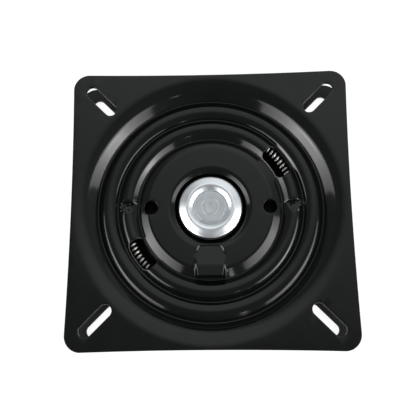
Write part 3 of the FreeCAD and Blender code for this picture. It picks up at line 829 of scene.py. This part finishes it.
def ring_filler(section, count):
    """Rings of points at the radii of a section, and a few sparse rings out on the flange."""
    rings = [ring(radius, count) for radius in section[:, 0]]
    rings += [ring(radius, AROUND_FLANGE) for radius in FLANGE_RINGS]
    return np.concatenate(rings)


def grid(low, high, spacing):
    """A rectangular grid of points."""
    columns = np.arange(low[0], high[0] + spacing / 2, spacing)
    rows = np.arange(low[1], high[1] + spacing / 2, spacing)
    return np.stack(np.meshgrid(columns, rows), axis=-1).reshape(-1, 2)


def lance_patches(filler, spacing):
    """Filler whose rings give way to a fine grid at the lances."""
    patches = []
    foot = -LANCE_LENGTH - LANCE_BEFORE
    low = (CHANNEL_RADIUS - LANCE_HALF, foot + LANCE_GAP)
    high = (CHANNEL_RADIUS + LANCE_HALF, LANCE_CLEAR - LANCE_GAP)
    for side in (1, -1):
        across, along = lance_place(filler[:, 0], filler[:, 1], side)
        near = (np.abs(across) < LANCE_HALF) & (along > foot) & (along < LANCE_CLEAR)
        filler = filler[~near]
        patches.append(turned(grid(low, high, spacing), LANCE_ANGLE) * (side, 1))
    return np.concatenate([filler] + patches)


def pad_patch(filler, spacing):
    """Filler whose rings give way to a fine grid at the pad."""
    half = PAD_HALF_WIDTHS[0][1] + PAD_MARGIN
    low = np.array((PAD_MIDDLE - half, -PAD_GRID[1]))
    high = np.array((PAD_MIDDLE + half, -PAD_GRID[0]))
    filler = filler[~((filler > low) & (filler < high)).all(axis=1)]
    return np.concatenate([filler, grid(low + PAD_GAP, high - PAD_GAP, spacing)])


print("points in the rings of the top face:", len(ring_filler(top_face, AROUND)))

# %% [markdown]
# The black paint. Baked gloss paint over pressed steel: close to black, with
# the lamps' reflections as its only light tones. A perfectly smooth surface
# would look like plastic, so a fine orange peel and a slow waviness of the
# sheet bend the reflections a little, and the gloss varies where hands and
# grease have dulled it.

# %% Gloss black paint
PAINT_IOR = 1.39          # low, because the picture's paint reflects less than clear lacquer would


def finish(name):
    """A new material: its Principled shader and a term to start sums from."""
    material = bpy.data.materials.new(name)
    material.use_nodes = True
    shader = material.node_tree.nodes["Principled BSDF"]
    return material, shader, Term(material.node_tree)


def feed(term, shader, socket):
    """Link a term to a socket of the shader."""
    term.tree.links.new(term.socket, shader.inputs[socket])


def noise(place, scale, detail=2.0):
    """Noise from 0 to 1 at a number of cells to the metre."""
    settings = {"noise_dimensions": "3D"}
    return place.node("ShaderNodeTexNoise", settings, {"Vector": place, "Scale": scale, "Detail": detail})


def bump(height, strength, distance):
    """A bump in the surface normal from a height between 0 and 1. The distance is in metres."""
    inputs = {"Strength": strength, "Distance": distance, "Height": height}
    return height.node("ShaderNodeBump", inputs=inputs)


def tones(amount, dark, light):
    """A colour between two, by an amount from 0 to 1."""
    mixed = {"Factor": amount, 6: dark + (1.0,), 7: light + (1.0,)}
    return amount.node("ShaderNodeMix", {"data_type": "RGBA"}, mixed, output=2)


def gloss_black():
    """Baked gloss paint, duller on the inside of the plates."""
    material, shader, start = finish("gloss_black_paint")
    place = start.node("ShaderNodeTexCoord").pick("Object")
    peel = noise(place, 700.0, 1.0)
    waves = noise(place, 45.0, 1.0)
    dulled = noise(place, 90.0, 4.0)
    inside = start.node("ShaderNodeAttribute", {"attribute_name": "inside"}).pick("Fac")
    feed(tones(dulled, (0.0016, 0.0018, 0.0018), (0.0042, 0.0045, 0.0045)), shader, "Base Color")
    feed(0.08 + dulled * 0.07 + inside * 0.5, shader, "Roughness")
    feed(bump(peel * 0.25 + waves, 0.35, 0.08 * MM), shader, "Normal")
    shader.inputs["IOR"].default_value = PAINT_IOR
    return material


black_paint = gloss_black()
print("finish:", black_paint.name)

# %% [markdown]
# The top plate, which carries most of the picture. A bevel on the solid would
# round its edges but leave its bends faceted, so a finely meshed sheet takes
# its place, in which every bend has enough rings for a clean reflection.

# %% Top plate
TOP_SPACINGS = (0.32, 0.6)       # of the fine grids at the lances, on the face and inside
PAD_COARSER = 0.1                # added to them at the pad


def dish_height(section, x, y):
    """The height of a round dish, which depends on the distance from the axis alone."""
    return np.interp(np.hypot(x, y), section[:, 0], section[:, 1])


def top_plate_face(x, y):
    """The height of the top plate's face, with its lances and its pad."""
    return with_pad(x, y, with_lances(x, y, dish_height(top_face, x, y), 0.0), 0.0)


def top_plate_inside(x, y):
    """The height of the top plate's inside."""
    return with_pad(x, y, with_lances(x, y, dish_height(top_inside, x, y), SHEET), SHEET)


def top_plate_filler(section, count, spacing):
    """The filler points of one face of the top plate."""
    return pad_patch(lance_patches(ring_filler(section, count), spacing), spacing + PAD_COARSER)


top_fillers = (
    top_plate_filler(top_face, AROUND, TOP_SPACINGS[0]),
    top_plate_filler(top_inside, AROUND_INSIDE, TOP_SPACINGS[1]),
)
top_holes = SLOTS + WINDOWS + TOOLING_HOLES + [ring(KINGPIN_HOLE, AROUND_INSIDE)]
top_plate = pressed_sheet(
    "top_plate_sheet", top_fillers, top_holes, top_plate_face, top_plate_inside, black_paint, False)
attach(top_plate, "seat_plate")
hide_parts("top_plate")

# %% [markdown]
# The bottom plate is pressed in the same tools, with a boss in place of the
# kingpin hole, and lies upside down. Seen from above it shows only through the
# slots, and from below it is the face of the object.

# %% Bottom plate
BOTTOM_SPACINGS = (0.45, 0.7)


def bottom_plate_face(x, y):
    """The height of the bottom plate's face, with its lances."""
    return with_lances(x, y, dish_height(bottom_face, x, y), 0.0)


def bottom_plate_inside(x, y):
    """The height of the bottom plate's inside."""
    return with_lances(x, y, dish_height(bottom_inside, x, y), SHEET)


bottom_fillers = [
    lance_patches(ring_filler(section, AROUND_INSIDE), spacing)
    for section, spacing in zip((bottom_face, bottom_inside), BOTTOM_SPACINGS)
]
bottom_holes = SLOTS + [ring(RIVET_HOLE, AROUND_INSIDE // 2)]
bottom_plate = pressed_sheet(
    "bottom_plate_sheet", bottom_fillers, bottom_holes, bottom_plate_face, bottom_plate_inside,
    black_paint, True)
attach(bottom_plate, "base")
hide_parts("bottom_plate")

# %% [markdown]
# Turned shapes. The kingpin cap and the rivet are round, so a section is swept
# once round the axis. A Screw modifier or a lathe curve would do it too. Here
# the rings are made one by one, because that gives the poles and edges exactly.

# %% Turned shapes
TURNED_AROUND = 200


def lathe(name, profile, material, sharp=SHARP_FROM):
    """A closed section, given as radius and height, swept round the axis."""
    vertices = []
    rings = []
    for radius, height in profile:
        if radius < SAME_POINT:
            rings.append([len(vertices)] * TURNED_AROUND)
            vertices.append((0.0, 0.0, height + FLANGE_RISE))
        else:
            rings.append(list(range(len(vertices), len(vertices) + TURNED_AROUND)))
            vertices += [(x, y, height + FLANGE_RISE) for x, y in ring(radius, TURNED_AROUND)]
    faces = []
    for lower, upper in zip(rings, rings[1:] + rings[:1]):
        if lower[0] == lower[1] and upper[0] == upper[1]:
            continue
        for index in range(TURNED_AROUND):
            following = (index + 1) % TURNED_AROUND
            corners = [lower[index], lower[following], upper[following], upper[index]]
            faces.append(tuple(dict.fromkeys(corners)))
    piece = new_piece(name, vertices, faces, material, sharp)
    print(f"{name}: {len(vertices)} points")
    return piece


# %% [markdown]
# Zinc plate. Bright zinc is a soft metal mirror with a faint blue cast. Turning
# and pressing leave rings round the axis, handling leaves paler and duller
# patches. The rings come from noise that reads only the distance from the axis.

# %% Zinc and steel finishes


def axis_distance(place):
    """The distance of a point from the swivel axis, in metres."""
    parts = place.node("ShaderNodeSeparateXYZ", inputs={0: place})
    x = parts.pick("X")
    y = parts.pick("Y")
    squared = x * x + y * y
    return squared.maths("SQRT", squared)


def turned_metal(name, dark, light, rough, rough_spread, ring_scale, ring_strength):
    """Metal with rings round the axis and soft stains."""
    material, shader, start = finish(name)
    place = start.node("ShaderNodeTexCoord").pick("Object")
    radius = axis_distance(place)
    waves = {"W": radius, "Scale": ring_scale, "Detail": 2.0}
    rings = start.node("ShaderNodeTexNoise", {"noise_dimensions": "1D"}, waves)
    stains = noise(place, 160.0, 5.0)
    feed(tones(stains, dark, light), shader, "Base Color")
    feed(rough + rough_spread * stains + 0.08 * rings, shader, "Roughness")
    feed(bump(rings + 0.4 * noise(place, 1500.0, 2.0), ring_strength, 0.05 * MM), shader, "Normal")
    shader.inputs["Metallic"].default_value = 1.0
    return material


zinc = turned_metal("zinc_plate", (0.74, 0.78, 0.82), (0.93, 0.95, 0.97), 0.22, 0.2, 900.0, 0.15)
rivet_steel = turned_metal("rivet_steel", (0.42, 0.45, 0.47), (0.62, 0.65, 0.67), 0.38, 0.2, 1500.0, 0.3)
print("finishes:", zinc.name, "and", rivet_steel.name)

# %% [markdown]
# The kingpin cap is a domed washer of thin sheet. Its bends are given like
# those of the plates, and its rim is rounded. The skirt slopes just enough to
# catch the softboxes over its whole width, as it does in the picture.

# %% Kingpin cap
CAP_SHEET = 1.2
CAP_FLOOR = 7.0
CAP_SLOPE = 28.0          # degrees, of the skirt
CAP_BENDS = [
    # distance from the axis, height of the centre, radius
    (RIVET_HOLE, CAP_FLOOR, 0.0),
    (10.058, CAP_FLOOR + 1.0, -1.0),
    (14.4, 7.074, 2.5),
    (19.9, 6.981, 0.0),
]
CAP_EDGE = 0.35           # how far the rim's round reaches in
CAP_STEPS = (4.0, 6.0)    # degrees of a bend between two rings, on the face and below
RIM_POINTS = 5
RIM_CLEAR = 0.1


def cap_profile():
    """The cap's section, anticlockwise: its underside outwards, the rim, and its face inwards."""
    face = section_points(CAP_BENDS, 0.0, CAP_STEPS[0])
    under = section_points(CAP_BENDS, CAP_SHEET, CAP_STEPS[1])
    slope = math.radians(CAP_SLOPE)
    outwards = np.array((math.cos(slope), -math.sin(slope)))
    rim_top = face[-1] - outwards * CAP_EDGE
    rim_bottom = under[-1] - outwards * CAP_EDGE
    face = face[face[:, 0] < rim_top[0] - RIM_CLEAR]
    under = under[under[:, 0] < rim_bottom[0] - RIM_CLEAR]
    middle = (rim_bottom + rim_top) / 2
    half = (rim_bottom - rim_top) / 2
    reach = CAP_EDGE * np.linalg.norm(half) / (CAP_SHEET / 2)
    angles = np.linspace(0, math.pi, RIM_POINTS + 2)[1:-1]
    rim = [middle + half * math.cos(angle) + outwards * reach * math.sin(angle) for angle in angles]
    return list(under) + [rim_bottom] + rim + [rim_top] + list(face[::-1])


cap = lathe("kingpin_cap_turned", cap_profile(), zinc)
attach(cap, "base")
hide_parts("kingpin_cap")

# %% [markdown]
# The rivet holds the plates together. Its flat head lies in the cap, with a
# groove and a small hollow from the heading tool, and its other end is spread
# under the boss of the bottom plate.

# %% Kingpin rivet
HEAD_TOP = CAP_FLOOR + 1.3
RIVET_SHARP_FROM = 40.0
RIVET_PROFILE = [
    # radius and height, up from the foot: the spread end and the shank, the head's edge,
    # the groove on the head, and the hollow in its middle
    (0.0, 0.5), (5.9, 0.5), (6.55, 0.75), (6.9, 1.3), (7.0, 2.0), (7.0, 3.0), (5.0, 3.0), (5.0, 7.0),
    (9.3, 7.0), (9.62, 7.15), (9.67, 7.5), (9.67, 7.95), (9.6, 8.15), (9.45, 8.26), (9.2, HEAD_TOP),
    (8.5, HEAD_TOP), (5.75, HEAD_TOP), (5.6, 8.27), (5.4, 8.1), (5.2, 8.27), (5.05, HEAD_TOP),
    (4.0, HEAD_TOP), (3.4, 8.29), (3.1, 8.22), (2.4, 8.02), (1.4, 7.8), (0.6, 7.7), (0.0, 7.68),
]
rivet = lathe("kingpin_rivet_turned", RIVET_PROFILE, rivet_steel, RIVET_SHARP_FROM)
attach(rivet, "base")
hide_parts("kingpin_rivet")

# %% [markdown]
# Springs and balls. A coil that follows an arc is a rule, so a Geometry Nodes
# tree makes it: a straight line of points is bent into the coil by a formula,
# and a round wire is swept along it. The balls are one ball put on the points
# of a circle.

# %% Geometry Nodes helpers


def new_tree(name, sizes):
    """A Geometry Nodes tree with named number inputs, and the terms for them."""
    tree = bpy.data.node_groups.new(name, "GeometryNodeTree")
    tree.interface.new_socket("Geometry", in_out="OUTPUT", socket_type="NodeSocketGeometry")
    for label in sizes:
        kind = "NodeSocketInt" if isinstance(sizes[label], int) else "NodeSocketFloat"
        tree.interface.new_socket(label, in_out="INPUT", socket_type=kind)
    entry = tree.nodes.new("NodeGroupInput")
    return tree, {label: Term(tree, entry.outputs[label]) for label in sizes}


def finish_tree(tree, geometry, material):
    """Smooth it, give it its material and end the tree."""
    start = Term(tree)
    real = start.node("GeometryNodeRealizeInstances", inputs={0: geometry})
    smooth = start.node("GeometryNodeSetShadeSmooth", inputs={"Geometry": real})
    painted = start.node("GeometryNodeSetMaterial", inputs={"Geometry": smooth, "Material": material})
    exit_node = tree.nodes.new("NodeGroupOutput")
    tree.links.new(painted.socket, exit_node.inputs["Geometry"])


def grown_piece(name, tree, sizes):
    """Run a tree with its sizes, and keep the result as a plain mesh piece."""
    holder = bpy.data.objects.new(name + "_holder", bpy.data.meshes.new(name + "_holder"))
    bpy.context.scene.collection.objects.link(holder)
    modifier = holder.modifiers.new("grow", "NODES")
    modifier.node_group = tree
    for item in tree.interface.items_tree:
        if item.item_type == "SOCKET" and item.in_out == "INPUT":
            modifier[item.identifier] = sizes[item.name]
    evaluated = holder.evaluated_get(bpy.context.evaluated_depsgraph_get())
    mesh = bpy.data.meshes.new_from_object(evaluated)
    holder.modifiers.remove(modifier)
    bpy.data.objects.remove(holder)
    mesh.name = name
    piece = bpy.data.objects.new(name, mesh)
    bpy.context.scene.collection.objects.link(piece)
    print(f"{name}: {len(mesh.polygons)} faces")
    return piece


# %% [markdown]
# The return springs. Each is one long coil of drawn wire along half of the
# channel. A Screw modifier can't follow an arc, so the coil is a formula on the
# points of a line. The two springs share one tree, and the front one is the
# rear one mirrored.

# %% Return springs
SPRING_TURNS = 57
POINTS_PER_TURN = 20
WIRE_FACETS = 10
SPRING_SIZES = {
    "Line radius": 54.8 * MM,
    "Coil radius": 2.75 * MM,
    "Wire radius": 0.82 * MM,
    "Start": math.radians(4.5),
    "Sweep": math.radians(171.0),
    "Turns": SPRING_TURNS,
    "Points": SPRING_TURNS * POINTS_PER_TURN + 1,
    "Middle height": FLANGE_RISE * MM,
    "Mirror": 1.0,
}


def spring_tree(material):
    """Bends a line of points into a coil that follows an arc, and sweeps the wire along it."""
    tree, size = new_tree("arc_spring", SPRING_SIZES)
    start = Term(tree)
    line = start.node("GeometryNodeMeshLine", inputs={"Count": size["Points"]})
    curve = start.node("GeometryNodeMeshToCurve", inputs={0: line})
    index = start.node("GeometryNodeInputIndex")
    share = index.maths("DIVIDE", index, size["Points"] - 1.0)
    coil = share * size["Turns"] * (2 * math.pi)
    around = size["Start"] + share * size["Sweep"]
    radius = size["Line radius"] + size["Coil radius"] * coil.maths("COSINE", coil)
    x = radius * around.maths("COSINE", around)
    y = radius * around.maths("SINE", around) * size["Mirror"]
    z = size["Middle height"] - size["Coil radius"] * coil.maths("SINE", coil) * size["Mirror"]
    place = start.node("ShaderNodeCombineXYZ", inputs={"X": x, "Y": y, "Z": z})
    bent = start.node("GeometryNodeSetPosition", inputs={"Geometry": curve, "Position": place})
    section = {"Resolution": WIRE_FACETS, "Radius": size["Wire radius"]}
    wire = start.node("GeometryNodeCurvePrimitiveCircle", inputs=section)
    sweep = {"Curve": bent, "Profile Curve": wire, "Fill Caps": True}
    swept = start.node("GeometryNodeCurveToMesh", inputs=sweep)
    finish_tree(tree, swept, material)
    return tree


# %% [markdown]
# Spring steel is drawn wire, oiled and a little dirty. The crests of the coils
# are light, and between them the wire is painted black for the shade between
# the coils and for old oil, so the colour follows the distance from the coil's middle plane.

# %% Spring steel
CLEAN_LIT_FROM = 2.1          # off the coil's middle plane, below which the wire is painted black, for shade between the coils and old oil
CLEAN_LIT_OVER = 1.1          # over which it turns from the painted shade to light, clean wire


def steel_with_oil_and_painted_shade():
    """Drawn wire, light and clean on its crests, painted black between them for shade and old oil."""
    material, shader, start = finish("spring_steel_oil_and_painted_shade")
    place = start.node("ShaderNodeTexCoord").pick("Object")
    height = place.node("ShaderNodeSeparateXYZ", inputs={0: place}).pick("Z") - FLANGE_RISE * MM
    # painted shade: off its crests the wire is painted black, for the shade between the coils, with old oil
    clean_and_lit = ((height.maths("ABSOLUTE", height) - CLEAN_LIT_FROM * MM) * (1 / (CLEAN_LIT_OVER * MM))).clamped()
    dirt = noise(place, 420.0, 3.0)
    feed(tones(clean_and_lit * (1.0 - dirt * 0.5), (0.012, 0.012, 0.011), (0.62, 0.61, 0.58)), shader, "Base Color")
    feed(0.5 - 0.2 * clean_and_lit + 0.15 * dirt, shader, "Roughness")
    feed(bump(noise(place, 2500.0, 2.0), 0.2, 0.03 * MM), shader, "Normal")
    shader.inputs["Metallic"].default_value = 1.0
    return material


spring_steel = steel_with_oil_and_painted_shade()
coil_tree = spring_tree(spring_steel)
for name, mirror in (("rear", 1.0), ("front", -1.0)):
    spring = grown_piece(f"{name}_coil_spring", coil_tree, dict(SPRING_SIZES, Mirror=mirror))
    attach(spring, "base")
    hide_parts(f"return_spring_{name}")

# %% [markdown]
# The balls are ground and polished bearing steel in a film of grease. Both
# rings come from one tree: a ball is put on each point of a circle. The balls
# of a ring go round together, so each ring is one mesh on its own body.

# %% Balls
BALL_RINGS = (
    # name, number of balls, radius of the ring, radius of a ball, height of the ring
    ("outer", 18, RACE_RADIUS, 4.0, FLANGE_RISE),
    ("inner", 12, 17.2, 2.25, 17.35),
)


def ball_tree(material):
    """One ball on each point of a circle."""
    sizes = {"Count": 0, "Race radius": 0.0, "Ball radius": 0.0, "Height": 0.0}
    tree, size = new_tree("ball_ring", sizes)
    start = Term(tree)
    round_of_points = {"Vertices": size["Count"], "Radius": size["Race radius"]}
    circle = start.node("GeometryNodeMeshCircle", inputs=round_of_points)
    ball = start.node("GeometryNodeMeshIcoSphere", inputs={"Radius": size["Ball radius"], "Subdivisions": 4})
    balls = start.node("GeometryNodeInstanceOnPoints", inputs={"Points": circle, "Instance": ball})
    lift = start.node("ShaderNodeCombineXYZ", inputs={"Z": size["Height"]})
    lifted = start.node("GeometryNodeTransform", inputs={"Geometry": balls, "Translation": lift})
    finish_tree(tree, lifted, material)
    return tree


def greased_steel():
    """Polished steel, duller where grease lies on it."""
    material, shader, start = finish("greased_ball_steel")
    place = start.node("ShaderNodeTexCoord").pick("Object")
    grease = noise(place, 500.0, 3.0)
    feed(tones(grease, (0.45, 0.44, 0.4), (0.8, 0.81, 0.83)), shader, "Base Color")
    feed(0.05 + 0.25 * grease, shader, "Roughness")
    shader.inputs["Metallic"].default_value = 1.0
    return material


ball_steel = greased_steel()
ring_tree = ball_tree(ball_steel)
for ring_name, count, race, radius, height in BALL_RINGS:
    sizes = {"Count": count, "Race radius": race * MM, "Ball radius": radius * MM, "Height": height * MM}
    balls = grown_piece(f"{ring_name}_balls", ring_tree, sizes)
    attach(balls, f"{ring_name}_balls")
    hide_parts(*[f"{ring_name}_ball_{index + 1:02d}" for index in range(count)])

# %% [markdown]
# The cages are plain mouldings of natural nylon. Their solids already have the
# right shape, so only the finish changes: a pale, slightly waxy plastic that
# old grease darkens. The inner cage reaches a little past the cap, and there it
# is painted black, for the shade in the gap past the cap's rim and old grease.

# %% Cages
SHADE_AND_GREASE_FROM = 18.8        # distance from the axis past which the nylon is painted black, for shade past the cap's rim and old grease
SHADE_AND_GREASE_OVER = 0.5           # over which the nylon turns black past it
SHADE_AND_GREASE_END = 30.0           # the outer cage, further out, is not darkened


def natural_nylon():
    """Natural nylon with grease, painted black past the cap's rim for the shade in the gap there and old
    grease.
    """
    material, shader, start = finish("natural_nylon")
    place = start.node("ShaderNodeTexCoord").pick("Object")
    reach = axis_distance(place) * (1 / MM)
    # painted shade: past the cap's rim the nylon is painted black, for the shade in the gap there, with old
    # grease
    shade_and_grease = ((reach - SHADE_AND_GREASE_FROM) * (1 / SHADE_AND_GREASE_OVER)).clamped() * (SHADE_AND_GREASE_END - reach).clamped()
    clean_and_lit = noise(place, 120.0, 4.0) * (1.0 - shade_and_grease)
    feed(tones(clean_and_lit, (0.012, 0.011, 0.01), (0.74, 0.71, 0.62)), shader, "Base Color")
    feed(0.35 + 0.2 * clean_and_lit, shader, "Roughness")
    feed(bump(noise(place, 900.0, 2.0), 0.2, 0.05 * MM), shader, "Normal")
    return material


nylon = natural_nylon()
for node in ("outer_ball_cage", "inner_ball_cage"):
    for slot_of_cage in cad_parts[node].material_slots:
        slot_of_cage.material = nylon
print("cages in", nylon.name)
